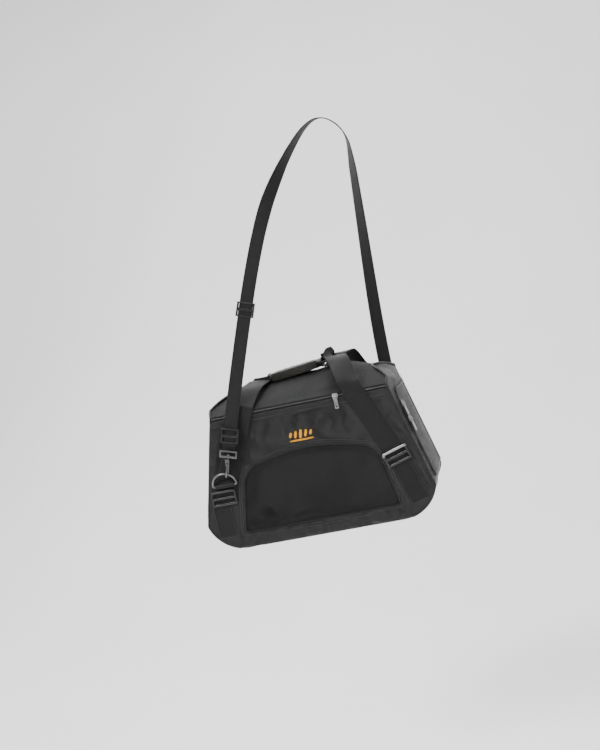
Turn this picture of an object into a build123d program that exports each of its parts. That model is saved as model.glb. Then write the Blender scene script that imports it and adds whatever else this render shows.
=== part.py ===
from build123d import *
import os
from math import acos, asin, atan2, cos, degrees, hypot, radians, sin, sqrt, tan

# Soft-sided pet carrier bag, in millimetres.
# Origin: centre of the base on the floor.  +X is the bag's right, +Z is up, the front faces -Y.

# ------------------------------------------------------------------ driving dimensions
bag_half_length = 217.0    # widest point of the rounded ends, near the floor
bag_depth = 201.0          # front face to back face
wall_height = 249.0        # floor to the zipper edge of the front and back walls
crown_height = 275.0       # floor to the highest line of the domed top
wall = 3.0                 # padded fabric wall
corner_radius = 72.0       # lower corners of the ends, seen from the front
foot_lean = 10.0           # lean of the ends below the bulge, degrees
shoulder_radius = 66.0     # rounding of the upper corners of the ends, seen from the front
shoulder_inset = 95.0      # widest point of the bag to the centre of that rounding
shoulder_start = 212.0     # floor to where that rounding begins
end_lean = 14.0            # lean of the bulged ends, degrees
end_foot = 9.5             # the leaning front edge would meet the floor this far beyond the widest point
end_bulge = 12.5           # how far the ends swell between their front and back edges

piping_diameter = 4.0
window_binding_diameter = 4.0
mesh_thickness = 1.0
window_base = 27.0         # bottom of the arched windows
window_foot_half = 147.0   # half width of a window at its foot
window_shoulder_half = 125.0
window_shoulder_height = 145.0
window_apex_height = 171.0
window_shoulder_radius = 45.0
window_apex_radius = 300.0

top_zip_height = 245.0     # centre of the top zipper on the front face
zip_tape_width = 6.0       # visible tape of a closed zipper
coil_diameter = 3.0
door_half_width = 76.0     # centre of the door zipper, each side of the middle
door_sill = 62.0           # floor to the fold that the door hangs on
door_head = 232.0          # floor to the top of the door
door_corner = 20.0
door_gap = 0.7

web_width = 38.0           # handle webbing
web_thickness = 1.8
strap_width = 25.0         # shoulder strap webbing
strap_thickness = 1.8
hem_depth = 12.0           # how far above the floor the sewn webbing starts

glide_width = 48.0         # slotted bar buckle on the handle webbing
glide_height = 28.0
glide_thickness = 3.0
glide_bar = 4.0
buckle_width = 33.0        # the same buckle for the shoulder strap
buckle_height = 27.0

ring_wire = 4.0            # D-ring
ring_half_width = 22.0
ring_corner = 3.0
ring_tilt = 18.0           # outward lean of a loaded ring, degrees

hook_wire = 4.0            # snap hook
hook_half_width = 7.0
hook_seat_gap = 1.1        # the hook's bow hangs this far below the ring's wire
hook_offset = 10.0         # hook from the middle of its ring
clearance = 0.3            # between pieces that move on each other

slider_length = 10.0
slider_width = 9.0
slider_height = 3.2
pull_length = 24.0
pull_width = 7.0
pull_thickness = 1.2
bridge_width = 2.0
bridge_rod = 1.6

board_thickness = 2.5
mat_thickness = 11.0
rod_diameter = 3.0
wrap_length = 106.0        # padded wrap round both handles
wrap_width = 44.0
wrap_height = 19.0
wrap_tilt = 6.0            # degrees
wrap_centre_x = -7.0
wrap_centre_z = 294.5

# ------------------------------------------------------------------ places on the bag
half_depth = bag_depth / 2
foot_centre = bag_half_length - corner_radius
shoulder_x = bag_half_length - shoulder_inset
end_reach = bag_half_length + end_foot
lean = radians(end_lean)
chord = half_depth**2 + end_bulge**2
bulge_radius = chord / (2 * end_bulge)
dome_rise = crown_height - wall_height
dome_radius = (half_depth**2 + dome_rise**2) / (2 * dome_rise)
dome_centre = crown_height - dome_radius
crown_reach = end_reach + end_bulge / cos(lean)

left_leg_x = -180.0        # sewn webbing on the front, left: upright
left_glide_at = (-172.0, 99.0)
right_glide_at = (157.0, 117.0)
leg_top = (103.0, wall_height)
right_leg_foot = (188.0, hem_depth)
ring_at = (-164.0, 122.0)  # front ring, its straight bar
front_pull_lean = 16.8     # lean of the pull of the strap at the front ring, degrees
back_pull_lean = 5.2       # the same at the back ring, before that ring is turned to the back

leg_gap = 0.9              # free webbing stands this far off the wall
leg_y = half_depth + leg_gap + web_thickness / 2
sewn_y = half_depth + web_thickness / 2
glide_y = half_depth + leg_gap + web_thickness + clearance + glide_thickness / 2
tab_inner = ring_wire / 2 + clearance
tab_outer = tab_inner + web_thickness
ring_y = half_depth + leg_gap + web_thickness + clearance + tab_outer
top_slider_x = 70.0

door_x = Vector(cos(lean), 0, sin(lean))        # outward, square to the right door
door_up = Vector(-sin(lean), 0, cos(lean))      # up the right door


# ------------------------------------------------------------------ helpers
def turned(shape):
    """The same piece on the other face and the other end of the bag."""
    return Rot(0, 0, 180) * shape


def tube(path, diameter):
    """A round cord along a path."""
    start = Plane(origin=path @ 0, z_dir=path % 0)
    return sweep(start * Circle(diameter / 2), path=path, transition=Transition.ROUND)


def solid_of(shape):
    """The single solid, or the compound, that a boolean left."""
    pieces = shape.solids()
    return pieces[0] if len(pieces) == 1 else Compound(children=list(pieces))


def ribbon(stations, width, thickness):
    """Flat webbing through stations of (point, direction across the webbing)."""
    points = [Vector(*point) for point, across in stations]
    sections = []
    for index, (point, across) in enumerate(stations):
        before = points[max(index - 1, 0)]
        after = points[min(index + 1, len(points) - 1)]
        along = (after - before).normalized()
        side = Vector(*across)
        side = (side - along * side.dot(along)).normalized() * (width / 2)
        up = along.cross(side).normalized() * (thickness / 2)
        centre = points[index]
        corners = [centre + side + up, centre - side + up, centre - side - up, centre + side - up]
        sections.append(Wire.make_polygon(corners, close=True))
    return Solid.make_loft(sections, ruled=True)


def route_stations(points, radii, across, arc_steps=4):
    """Stations along straight runs joined by arcs; the direction across turns from point to point."""
    path = FilletPolyline(*points, radius=radii)
    places = []
    for edge in path.edges():
        steps = arc_steps if edge.geom_type == GeomType.CIRCLE else 1
        places += [edge @ (step / steps) for step in range(steps)]
    places.append(path @ 1)
    corners = [Vector(*point) for point in points]
    stations = []
    for place in places:
        gaps = [(place - corner).length for corner in corners]
        ends = range(len(corners) - 1)
        run = min(ends, key=lambda i: gaps[i] + gaps[i + 1] - (corners[i + 1] - corners[i]).length)
        share = gaps[run] / (gaps[run] + gaps[run + 1])
        side = Vector(*across[run]) * (1 - share) + Vector(*across[run + 1]) * share
        stations.append((place, side))
    return path, stations


def save(name, shape):
    """Write one piece under its own name."""
    shape.label = name
    export_step(shape, os.path.join("parts", name + ".step"))


# ------------------------------------------------------------------ outer shape
def side_profile(inset):
    """Upright walls with a domed top, seen from the end."""
    half = half_depth - inset
    radius = dome_radius - inset
    spring = dome_centre + sqrt(radius**2 - half**2)
    with BuildSketch(Plane.YZ) as sketch:
        with BuildLine():
            Polyline((-half, spring), (-half, inset), (half, inset), (half, spring))
            ThreePointArc((half, spring), (0, dome_centre + radius), (-half, spring))
        make_face()
    return extrude(sketch.sketch, 400, both=True)


def shoulder_height(inset):
    """Highest line of the rounded upper corners, just over the dome."""
    return crown_height + 1.0 - inset


def shoulder_reach(height, inset):
    """Half width inside the rounded upper corners at a height."""
    radius = shoulder_radius - inset
    centre = shoulder_height(inset) - radius
    return shoulder_x + sqrt(radius**2 - (height - centre) ** 2)


def front_outline(inset):
    """Base with rounded corners, leaning sides and rounded shoulders, seen from the front."""
    radius = corner_radius - inset
    foot = radians(foot_lean)
    bend_x = foot_centre + radius * cos(foot)
    bend_z = corner_radius + radius * sin(foot)
    arc_x = foot_centre + radius * cos(radians(40))
    arc_z = corner_radius - radius * sin(radians(40))
    side_x = bend_x - (shoulder_start - bend_z) * tan(foot)
    start_x = shoulder_reach(shoulder_start, inset)
    top = shoulder_height(inset)
    turn = radians(50)
    turn_x = shoulder_x + (shoulder_radius - inset) * cos(turn)
    turn_z = top - (shoulder_radius - inset) * (1 - sin(turn))
    with BuildSketch(Plane.XZ) as sketch:
        with BuildLine():
            Line((-foot_centre, inset), (foot_centre, inset))
            ThreePointArc((foot_centre, inset), (arc_x, arc_z), (bend_x, bend_z))
            Polyline((bend_x, bend_z), (side_x, shoulder_start), (start_x, shoulder_start))
            ThreePointArc((start_x, shoulder_start), (turn_x, turn_z), (shoulder_x, top))
            Line((shoulder_x, top), (-shoulder_x, top))
            ThreePointArc((-shoulder_x, top), (-turn_x, turn_z), (-start_x, shoulder_start))
            Polyline((-start_x, shoulder_start), (-side_x, shoulder_start), (-bend_x, bend_z))
            ThreePointArc((-bend_x, bend_z), (-arc_x, arc_z), (-foot_centre, inset))
        make_face()
    return extrude(sketch.sketch, 300, both=True)


def end_drum(inset):
    """Large drum whose side is the swollen right end of the bag."""
    reach = end_reach * cos(lean) + end_bulge - bulge_radius
    axis = Plane(origin=door_x * reach, z_dir=door_up)
    return axis * Cylinder(bulge_radius - inset, 1400)


def tub(inset):
    """Outer shape without its walls' front, back and top."""
    drum = end_drum(inset)
    return front_outline(inset) & drum & turned(drum)


def edge_half(height):
    """Half width of the front face at a height."""
    leaning = end_reach - height * tan(lean)
    foot = radians(foot_lean)
    bend_x = foot_centre + corner_radius * cos(foot)
    bend_z = corner_radius * (1 + sin(foot))
    if height > bend_z:
        return min(leaning, bend_x - (height - bend_z) * tan(foot))
    return min(leaning, foot_centre + sqrt(corner_radius**2 - (corner_radius - height) ** 2))


def slab(low, high, axis):
    """Space between two planes square to an axis."""
    size = [1400, 1400, 1400]
    place = [0, 0, 0]
    size[axis] = high - low
    place[axis] = (low + high) / 2
    return Pos(*place) * Box(*size)


# ------------------------------------------------------------------ windows, piping and zippers
def window_path():
    """Arch of a window's binding on the front face."""
    y = -half_depth
    points = [(-window_foot_half, y, window_base),
              (-window_shoulder_half, y, window_shoulder_height),
              (0, y, window_apex_height),
              (window_shoulder_half, y, window_shoulder_height),
              (window_foot_half, y, window_base)]
    radii = [window_shoulder_radius, window_apex_radius, window_shoulder_radius]
    return FilletPolyline(*points, radius=radii)


def window_space():
    """Prism through the front wall inside the arch."""
    arch = window_path()
    face = make_face(arch.edges() + [Line(arch @ 1, arch @ 0)])
    return extrude(face, amount=2 * wall, dir=(0, 1, 0))


def front_piping(inset, top):
    """Cord along the front panel's edge, from the zipper down one end, under and up the other."""
    y = -half_depth
    radius = corner_radius - inset
    drum_centre = end_reach * cos(lean) + end_bulge - bulge_radius
    reach = (drum_centre + sqrt((bulge_radius - inset) ** 2 - half_depth**2)) / cos(lean)
    gap = (reach - corner_radius * tan(lean) - foot_centre) * cos(lean)
    meet = lean - acos(gap / radius)           # where the rounded corner meets the leaning edge
    corner_x, corner_z = foot_centre + radius * cos(meet), corner_radius + radius * sin(meet)
    middle = radius * sin(radians(45))
    top_x = reach - top * tan(lean)
    right = Line((top_x, y, top), (corner_x, y, corner_z))
    turn = ThreePointArc((corner_x, y, corner_z), (foot_centre + middle, y, corner_radius - middle),
                         (foot_centre, y, inset))
    under = Line((foot_centre, y, inset), (-foot_centre, y, inset))
    back_up = ThreePointArc((-foot_centre, y, inset), (-foot_centre - middle, y, corner_radius - middle),
                            (-corner_x, y, corner_z))
    left = Line((-corner_x, y, corner_z), (-top_x, y, top))
    return tube(right + turn + under + back_up + left, piping_diameter)


def arch_piping():
    """Cord over the top of the right end, where the rounded shoulder meets the dome."""
    points = []
    for share in (1.0, 0.72, 0.46, 0.16, -0.16, -0.46, -0.72, -1.0):
        y = -share * half_depth
        z = dome_centre + sqrt(dome_radius**2 - y**2)
        drum = end_reach * cos(lean) + end_bulge - bulge_radius + sqrt(bulge_radius**2 - y**2)
        x = min(shoulder_reach(z, 0), drum / cos(lean) - z * tan(lean))
        points.append((x, y, z))
    return tube(FilletPolyline(*points, radius=20), piping_diameter)


def door_space(margin):
    """Prism square to the right door, whose outline is the zipper's plus a margin."""
    rise = (door_head - door_sill) / cos(lean)
    middle = (door_head + door_sill) / 2
    centre = Vector(crown_reach - middle * tan(lean), 0, middle)
    frame = Plane(origin=centre, x_dir=(0, 1, 0), z_dir=door_x)
    with BuildSketch(frame) as sketch:
        RectangleRounded(2 * (door_half_width + margin), rise + 2 * margin, door_corner + margin)
    return extrude(sketch.sketch, 60, both=True)


# ------------------------------------------------------------------ webbing
def strip(foot, head, width, y, thickness):
    """Straight flat webbing on the front face, from foot to head (x, z)."""
    run = Vector(head[0] - foot[0], 0, head[1] - foot[1])
    middle = Vector((foot[0] + head[0]) / 2, -y, (foot[1] + head[1]) / 2)
    place = Plane(origin=middle, x_dir=(0, 1, 0), z_dir=run)
    return place * Box(thickness, width, run.length)


def glide(width, height, bar):
    """Slotted bar buckle, flat in XZ: a frame with a bar across its middle."""
    frame = RectangleRounded(width, height, 3)
    slot_height = (height - 3 * bar) / 2
    slot = RectangleRounded(width - 2 * bar, slot_height, 1.5)
    offset_z = (slot_height + bar) / 2
    frame = frame - Pos(0, offset_z) * slot - Pos(0, -offset_z) * slot
    return Rot(90, 0, 0) * extrude(frame, glide_thickness / 2, both=True)


def handle_webbing(left_foot, right_foot, face, layer):
    """A handle: up both legs, over the top edge and through the padded wrap.

    face is -1 on the front of the bag and 1 on its back, layer is 1 for the upper of the two
    webbings inside the wrap and -1 for the lower.
    """
    y = face * leg_y
    tilt = radians(wrap_tilt)
    half_run = wrap_length / 2 + 6
    level = wrap_centre_z + layer * (web_thickness + clearance) / 2
    over = layer * (web_thickness + clearance) / 2
    reach, climb = half_run * cos(tilt), half_run * sin(tilt)
    left_bend = (0.3 * left_foot[0] - 0.7 * leg_top[0], y, 0.3 * left_foot[1] + 0.7 * leg_top[1])
    right_bend = (0.3 * right_foot[0] + 0.7 * leg_top[0], y, 0.3 * right_foot[1] + 0.7 * leg_top[1])
    stations = [((left_foot[0], y, left_foot[1]), (0.9, 0, -0.42)),
                (left_bend, (0.9, 0, -0.42)),
                ((-leg_top[0], y + 2.2 * face, leg_top[1] + 1), (0.9, 0, -0.42)),
                ((-98, y - 5 * face, 264), (0.95, -0.1 * face, -0.3)),
                ((-88, 70 * face, 281 + over), (0.95, -0.35 * face, -0.1)),
                ((-78, 32 * face, 287 + over), (0.7, -0.7 * face, 0)),
                ((-70, 10 * face, 288 + over), (0.25, -0.95 * face, 0)),
                ((wrap_centre_x - reach, 0, level - climb), (0, -face, 0)),
                ((wrap_centre_x + reach, 0, level + climb), (0, -face, 0)),
                ((60, 8 * face, 303 + over), (-0.25, -0.95 * face, 0)),
                ((72, 28 * face, 308 + over), (-0.7, -0.7 * face, 0)),
                ((84, 64 * face, 303 + over), (-0.95, -0.35 * face, 0.1)),
                ((96, y - 6 * face, 272), (-0.95, -0.1 * face, 0.3)),
                ((leg_top[0], y + 2.2 * face, leg_top[1] + 1), (-0.9, 0, -0.42)),
                (right_bend, (-0.9, 0, -0.42)),
                ((right_foot[0], y, right_foot[1]), (-0.9, 0, -0.42))]
    return ribbon(stations, web_width, web_thickness)


# ------------------------------------------------------------------ rings, hooks and the strap
def ring_frame():
    """Front ring: origin at the middle of its straight bar, up the leaning ring."""
    tilt = radians(ring_tilt)
    return Plane(origin=(ring_at[0], -ring_y, ring_at[1]), x_dir=(1, 0, 0),
                 z_dir=(0, -sin(tilt), cos(tilt)))


def ring():
    """D-ring of round wire."""
    bar_half = ring_half_width - ring_corner
    turn = ring_corner * sin(radians(45))
    bar = Line((-bar_half, 0, 0), (bar_half, 0, 0))
    right = ThreePointArc((bar_half, 0, 0), (bar_half + turn, 0, ring_corner - turn),
                          (ring_half_width, 0, ring_corner))
    bow = ThreePointArc((ring_half_width, 0, ring_corner), (0, 0, ring_corner + ring_half_width),
                        (-ring_half_width, 0, ring_corner))
    left = ThreePointArc((-ring_half_width, 0, ring_corner), (-bar_half - turn, 0, ring_corner - turn),
                         (-bar_half, 0, 0))
    return ring_frame().location * tube(bar + right + bow + left, ring_wire)


def ring_tab():
    """Webbing folded round the ring's bar and sewn down over the handle webbing."""
    length = web_width - 2
    tail = 9.0
    face = Circle(tab_outer) + Pos(-(tab_outer - web_thickness / 2), -tail / 2) * Rectangle(
        web_thickness, tail)
    face = face - Circle(tab_inner)
    piece = extrude(face, length / 2, both=True)
    return Pos(ring_at[0], -ring_y, ring_at[1]) * Rot(0, 0, 90) * Rot(90, 0, 0) * Rot(0, 0, 180) * piece


def hook_frame(pull_lean):
    """Snap hook: origin at the ring's wire, up along the pull of the strap."""
    tilt = radians(ring_tilt)
    rise = ring_corner + sqrt(ring_half_width**2 - hook_offset**2)
    origin = (ring_at[0] + hook_offset, -ring_y - rise * sin(tilt), ring_at[1] + rise * cos(tilt))
    pull = radians(pull_lean)
    return Plane(origin=origin, x_dir=(cos(pull), 0, -sin(pull)), z_dir=(sin(pull), 0, cos(pull)))


hook_seat = hook_half_width - ring_wire / 2 - hook_wire / 2 - hook_seat_gap   # bow centre over wire
neck_top = hook_seat + 24.0
gate_top = hook_seat + 18.5
eye_floor = neck_top + 5.0


def hook():
    """Hook with a bow under the ring, a back, a neck and two ears that carry the gate's pin."""
    half = hook_half_width
    nose = (0, -half, hook_seat + 2.5)
    corners = [nose, (0, -half, hook_seat - half), (0, half, hook_seat - half),
               (0, half, neck_top - 7), (0, 0, neck_top), (0, 0, neck_top + 2)]
    path = FilletPolyline(*corners, radius=[half - 0.1, half - 0.1, 6, 1.5])
    body = tube(path, hook_wire)
    shoulder = Pos(0, 0, neck_top + 0.5) * Box(8, 2 * half + 4, 5)
    ear_height = 7.5
    ear = Box(1.2, 3.6, ear_height)
    ears = [Pos(x, -half, neck_top - 2 - ear_height / 2 + 0.5) * ear for x in (-2.6, 2.6)]
    pin = Pos(0, -half, gate_top) * Rot(0, 90, 0) * Cylinder(0.8, 6.4)
    post = Pos(0, 0, neck_top + 7.5) * Cylinder(2.4, 10)
    head = Pos(0, 0, eye_floor + 4 + clearance + 1) * Cylinder(4, 2)
    return body + shoulder + ears[0] + ears[1] + pin + post + head


def gate():
    """Spring gate that closes the hook from its pin down to the nose."""
    low = hook_seat + 2.5 + clearance
    bar = Box(3.2, 3.2, gate_top + 1.4 - low)
    bar = Pos(0, -hook_half_width, (gate_top + 1.4 + low) / 2) * bar
    bore = Pos(0, -hook_half_width, gate_top) * Rot(0, 90, 0) * Cylinder(0.8 + clearance, 10)
    return bar - bore


def hook_eye():
    """Loop that the hook's post turns in and the strap is sewn round."""
    height = 14.0
    outline = Pos(0, 0, eye_floor + height / 2) * Box(strap_width + 8, 7, height)
    opening_height = height - 4 - 3.2
    opening = Pos(0, 0, eye_floor + 4 + opening_height / 2) * Box(strap_width + 1.5, 20, opening_height)
    bore = Pos(0, 0, eye_floor) * Cylinder(2.4 + clearance, 20)
    return outline - opening - bore


eye_bar = eye_floor + 14.0 - 1.6
front_hook_frame = hook_frame(front_pull_lean)
back_hook_frame = hook_frame(back_pull_lean)


def at_eye(frame, height):
    """A point on the line of pull, a height above the ring's wire."""
    point = frame.origin + frame.z_dir * height
    return (point.X, point.Y, point.Z)


strap_start = at_eye(front_hook_frame, eye_bar + 4)
strap_finish = at_eye(back_hook_frame, eye_bar + 4)
strap_finish = (-strap_finish[0], -strap_finish[1], strap_finish[2])
strap_points = [strap_start, (-118, -half_depth - 12.5, 262), (-11, -66, 566), (58, -36, 677), (128, -8, 752),
                (178, 14, 712), (173, 40, 640), (143, half_depth + 12.5, 262), strap_finish]
strap_radii = [120, 240, 150, 42, 34, 150, 120]
strap_across = [tuple(front_hook_frame.x_dir), (0.94, 0, -0.33), (0.94, 0, -0.33), (0.5, 0.85, -0.1),
                (0.05, 1, 0), (-0.1, 1, 0.1), (-0.6, 0.8, 0), (-1, 0, 0), (-1, 0, 0)]
adjuster_along = 0.55      # share of the long front run from the bag's edge to the shoulder


def strap():
    """Shoulder strap, pulled tight from the front hook over the shoulder to the back hook."""
    path, stations = route_stations(strap_points, strap_radii, strap_across)
    return ribbon(stations, strap_width, strap_thickness)


def strap_place(run, share):
    """Frame on a straight run of the strap: up along the run, its x across the webbing."""
    low, high = Vector(*strap_points[run]), Vector(*strap_points[run + 1])
    side = Vector(*strap_across[run]) * (1 - share) + Vector(*strap_across[run + 1]) * share
    along = (high - low).normalized()
    side = (side - along * side.dot(along)).normalized()
    return Plane(origin=low + (high - low) * share, x_dir=side, z_dir=along)


def strap_buckle(run, share):
    """Bar buckle round the strap: a flat loop with the webbing through it."""
    loop = Box(buckle_width, 2 * clearance + strap_thickness + 4, buckle_height)
    through = Box(strap_width + 1, strap_thickness + 2 * clearance, 2 * buckle_height)
    slots = Box(strap_width + 1, 20, buckle_height / 2 - 5)
    slots = Pos(0, 0, buckle_height / 4) * slots + Pos(0, 0, -buckle_height / 4) * slots
    return strap_place(run, share).location * (loop - through - slots)


# ------------------------------------------------------------------ zipper sliders and pulls
def door_slider_place(along):
    """On the right door's zipper near the front: up the zipper, outward from the cloth."""
    turn = asin(door_half_width / bulge_radius)
    height = bulge_radius * cos(turn) - bulge_radius
    middle = (door_head + door_sill) / 2
    centre = Vector(crown_reach - middle * tan(lean), 0, middle)
    origin = centre + door_x * height + Vector(0, -door_half_width, 0) + door_up * along
    outward = door_x * cos(turn) + Vector(0, -sin(turn), 0)
    return Plane(origin=origin, x_dir=door_up, z_dir=outward)


def slider(rod_height):
    """Zipper slider along x with a staple over it, standing on the zipper's face."""
    lift = clearance + slider_height / 2
    body = Pos(0, 0, lift) * Box(slider_length, slider_width, slider_height)
    body = fillet(body.edges().filter_by(Axis.Z), 2)
    top = clearance + slider_height
    span = 3.2
    posts = [Pos(x, 0, top + rod_height / 2) * Box(1.4, bridge_width, rod_height) for x in (-span, span)]
    rod = Pos(0, 0, top + rod_height) * Rot(0, 90, 0) * Cylinder(bridge_rod / 2, 2 * span + 1.4)
    return body + posts[0] + posts[1] + rod


flat_rod_height = 2.8
hung_rod_height = 3.8
flat_pull_height = clearance + slider_height + (flat_rod_height - bridge_rod / 2) / 2
hung_pull_height = clearance + slider_height + hung_rod_height


def flat_pull():
    """Pull that lies along the zipper, its cross bar under the staple; it points to -x."""
    bar_half = 0.5
    window_end = 6.0
    whole = pull_length + bar_half
    outline = Pos(bar_half - whole / 2, 0) * RectangleRounded(whole, pull_width, 0.4)
    window = Pos(-(window_end + bar_half) / 2, 0) * Rectangle(window_end - bar_half, pull_width - 2.8)
    hole = Pos(-pull_length + 3.5, 0) * Circle(1.6)
    return Pos(0, 0, flat_pull_height) * extrude(outline - window - hole, pull_thickness / 2, both=True)


def hung_pull():
    """Pull that hangs from the staple by a ring; it points to -z of the bag."""
    link = Rot(0, 90, 0) * Torus(2.6, 0.6)
    plate_length = pull_length - 4
    outline = Pos(0, -plate_length / 2 - 2.6) * RectangleRounded(pull_width, plate_length, 1.5)
    hole = Pos(0, -pull_length + 5) * Circle(1.6)
    plate = Rot(90, 0, 0) * extrude(outline - hole, pull_thickness / 2, both=True)
    return link + plate


coil_rise = coil_diameter / 4      # how far the zipper's coil stands out of its tape
top_slider_place = Plane(origin=(top_slider_x, -half_depth - coil_rise, top_zip_height),
                         x_dir=(1, 0, 0), z_dir=(0, -1, 0))
top_pull_at = (top_slider_x, -half_depth - coil_rise - hung_pull_height, top_zip_height)
upper_along, lower_along = 61.0, 30.0      # up the door's zipper from its middle


# ------------------------------------------------------------------ the grip, the floor and the frame
def wrap_frame():
    """Middle of the padded wrap, along the tilted grip."""
    tilt = radians(wrap_tilt)
    return Plane(origin=(wrap_centre_x, 0, wrap_centre_z), x_dir=(cos(tilt), 0, sin(tilt)),
                 z_dir=(-sin(tilt), 0, cos(tilt)))


def grip_wrap():
    """Padded sleeve closed round both handles."""
    outline = RectangleRounded(wrap_width, wrap_height, 7)
    cavity = Rectangle(web_width + 1.2, 2 * web_thickness + 1.6)
    sleeve = extrude(outline - cavity, wrap_length / 2, both=True)
    return wrap_frame().location * Rot(0, 0, 90) * Rot(90, 0, 0) * sleeve


def grip_flap():
    """Closing flap of the wrap, on its front side, hinged along its upper edge."""
    thickness = 2.4
    place = Pos(0, -(wrap_width / 2 + clearance + thickness / 2), 0)
    flap = Box(wrap_length - 16, thickness, wrap_height - 4)
    return wrap_frame().location * place * fillet(flap.edges().filter_by(Axis.Y), 3)


floor_half = foot_centre - 4
floor_width = 2 * (half_depth - wall) - 6


def frame_rods():
    """Two sprung rods inside the upper seams, which keep the walls straight."""
    y = half_depth - wall - clearance - rod_diameter / 2
    half = edge_half(top_zip_height) - 14
    rod = Rot(0, 90, 0) * Cylinder(rod_diameter / 2, 2 * half)
    return Compound(children=[Pos(0, y * side, top_zip_height) * rod for side in (-1, 1)])


# ------------------------------------------------------------------ build and write
def build():
    os.makedirs("parts", exist_ok=True)
    outer_tub = tub(0)
    inner_tub = tub(wall)
    outside = outer_tub & side_profile(0)
    shell = outside - (inner_tub & side_profile(wall))
    face_slab = slab(-half_depth, -half_depth + wall, 1)
    between = slab(-half_depth + wall, half_depth - wall, 1)
    tape_low = top_zip_height - zip_tape_width / 2
    tape_high = top_zip_height + zip_tape_width / 2

    edge_inset = piping_diameter / 2 + 0.1     # the cord runs just above the floor
    front_face = tub(edge_inset) & face_slab & slab(-10, tape_low, 2)
    piping = front_piping(edge_inset, tape_low)
    arches = arch_piping()
    arches_left = turned(arches)
    binding = tube(window_path(), window_binding_diameter)
    coil = Pos(0, -half_depth + coil_diameter / 2 - coil_rise, top_zip_height) * Rot(0, 90, 0) * Cylinder(
        coil_diameter / 2, 2 * edge_half(top_zip_height) - 6)
    pipings = [piping, turned(piping), arches, arches_left]

    front_skin = shell & face_slab
    tape = front_skin & slab(tape_low, tape_high, 2)
    front_wall = front_face - window_space() - binding - piping
    window_mesh = window_space() & slab(-half_depth + 0.5, -half_depth + 0.5 + mesh_thickness, 1)
    window_mesh = window_mesh - binding
    tape = (tape + (coil & slab(tape_low, tape_high, 2))) - piping - arches - arches_left
    piping_front = piping - coil

    gusset = (outside - inner_tub) & between
    base = gusset & slab(-floor_half, floor_half, 0) & slab(-1, wall + 1, 2)
    side = (gusset & slab(floor_half, 400, 0)) - door_space(0) - arches - piping - turned(piping)
    door = ((gusset & slab(floor_half, 400, 0)) & door_space(-door_gap / 2))
    ring_tape = door_space(zip_tape_width / 2)
    end_tape = side & ring_tape
    end_wall = side - ring_tape
    door_tape = door - door_space(-door_gap / 2 - zip_tape_width / 2)
    door_mesh = door & door_space(-door_gap / 2 - zip_tape_width / 2)

    roof = (shell & inner_tub & between) & slab(tape_high - 20, 400, 2)
    roof = roof + (shell & slab(tape_high, 400, 2) & face_slab) + (
        shell & slab(tape_high, 400, 2) & turned(face_slab))
    roof = roof & slab(tape_high, 400, 2)
    for cord in (arches, arches_left, piping, turned(piping)):
        roof = roof - cord
    end_wall = end_wall - arches_left

    save("front_panel", solid_of(front_wall))
    save("back_panel", solid_of(turned(front_wall)))
    save("base_panel", solid_of(base))
    save("right_end_panel", solid_of(end_wall))
    save("left_end_panel", solid_of(turned(end_wall)))
    save("top_panel", solid_of(roof - side - door))
    save("front_piping", solid_of(piping_front))
    save("back_piping", solid_of(turned(piping_front)))
    save("right_arch_piping", solid_of(arches))
    save("left_arch_piping", solid_of(arches_left))
    save("front_window_mesh", solid_of(window_mesh))
    save("back_window_mesh", solid_of(turned(window_mesh)))
    save("front_window_binding", solid_of(binding))
    save("back_window_binding", solid_of(turned(binding)))
    save("front_top_zip_tape", solid_of(tape))
    save("back_top_seam_tape", solid_of(turned(tape)))
    save("right_end_zip_tape", solid_of(end_tape))
    save("left_end_zip_tape", solid_of(turned(end_tape)))
    save("right_door_mesh", solid_of(door_mesh))
    save("left_door_mesh", solid_of(turned(door_mesh)))
    save("right_door_zip_tape", solid_of(door_tape))
    save("left_door_zip_tape", solid_of(turned(door_tape)))

    foot_gap = 6.0
    left_sewn = strip((left_leg_x, hem_depth + 4), (left_leg_x, left_glide_at[1] - foot_gap), web_width,
                      sewn_y, web_thickness)
    glide_lean = degrees(atan2(right_leg_foot[0] - right_glide_at[0], right_glide_at[1] - right_leg_foot[1]))
    run_x, run_z = right_leg_foot[0] - right_glide_at[0], right_glide_at[1] - right_leg_foot[1]
    start = foot_gap / hypot(run_x, run_z)
    right_sewn = strip((right_leg_foot[0] - 0.05 * run_x, right_leg_foot[1] + 0.05 * run_z),
                       (right_glide_at[0] + start * run_x, right_glide_at[1] - start * run_z),
                       web_width, sewn_y, web_thickness)
    stitched_area = tub(piping_diameter + 0.3)
    left_sewn = left_sewn & stitched_area
    right_sewn = right_sewn & stitched_area
    save("front_left_webbing", solid_of(left_sewn))
    save("front_right_webbing", solid_of(right_sewn))
    save("back_right_webbing", solid_of(turned(left_sewn)))
    save("back_left_webbing", solid_of(turned(right_sewn)))

    front_handle = handle_webbing(left_glide_at, right_glide_at, -1, 1) - binding
    back_left_foot = (-right_glide_at[0], right_glide_at[1])
    back_right_foot = (-left_glide_at[0], left_glide_at[1])
    back_handle = handle_webbing(back_left_foot, back_right_foot, 1, -1) - turned(binding)
    save("front_handle_webbing", solid_of(front_handle))
    save("back_handle_webbing", solid_of(back_handle))

    buckle = glide(glide_width, glide_height, glide_bar)
    left_buckle = Pos(left_glide_at[0], -glide_y, left_glide_at[1]) * buckle
    right_buckle = Pos(right_glide_at[0], -glide_y, right_glide_at[1]) * Rot(0, glide_lean * -1, 0) * buckle
    save("front_left_bar_buckle", solid_of(left_buckle))
    save("front_right_bar_buckle", solid_of(right_buckle))
    save("back_bar_buckles", Compound(children=[turned(left_buckle), turned(right_buckle)]))

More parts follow.
